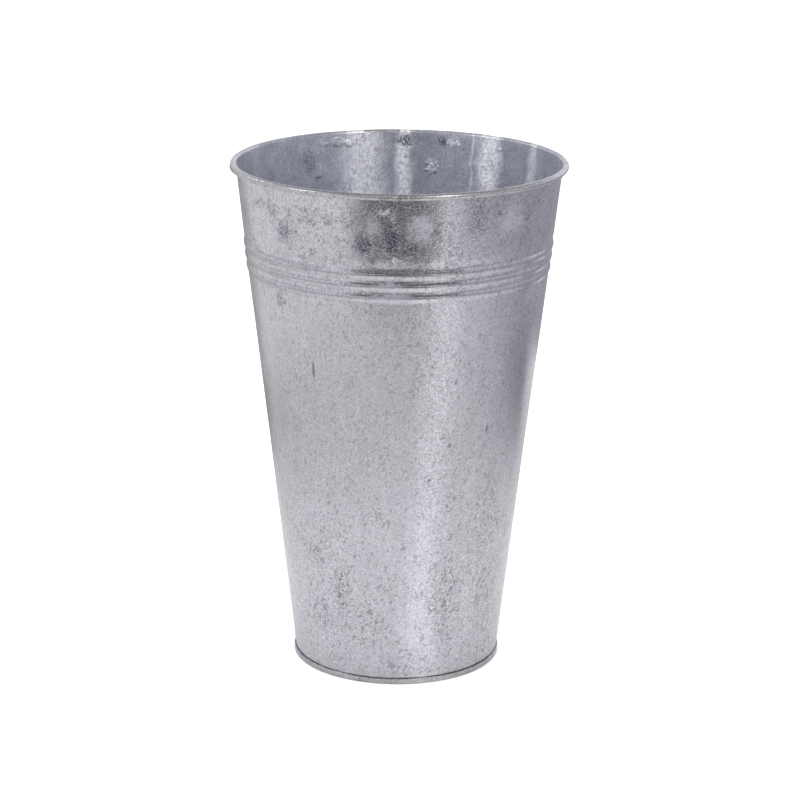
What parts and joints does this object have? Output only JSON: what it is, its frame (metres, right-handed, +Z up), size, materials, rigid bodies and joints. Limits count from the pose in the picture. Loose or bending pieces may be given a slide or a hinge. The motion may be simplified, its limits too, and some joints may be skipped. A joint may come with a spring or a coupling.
{
  "type": "tall galvanised flower bucket",
  "caption": "Tall tapered round sheet-metal bucket with a wired rolled rim, pressed ribs below it and a seamed recessed bottom, open at the top, for holding cut flowers in water.",
  "frame": {"origin": "on the bucket's axis at the height of the ground it stands on, the bottom centre of its bounding box", "axes": "+Z up along the bucket's axis towards the open rim; the pictured front faces -Y and +X is to the viewer's right; the side seam is at the back, 104 degrees counter-clockwise from +X"},
  "size_m": [0.2214, 0.2214, 0.34],
  "materials": {
    "galvanised_sheet": "hot-dip galvanised, mottled and streaked",
    "wire": "drawn steel wire, zinc coated",
    "galvanised_pan": "hot-dip galvanised, dull",
    "seam_zinc": "solidified zinc, satin"
  },
  "bodies": {
    "root": {"wall_sheet": "galvanised_sheet", "rim_wire": "wire", "bottom_pan": "galvanised_pan", "bottom_seal": "seam_zinc", "side_seam_seal": "seam_zinc"}
  },
  "joints": []
}
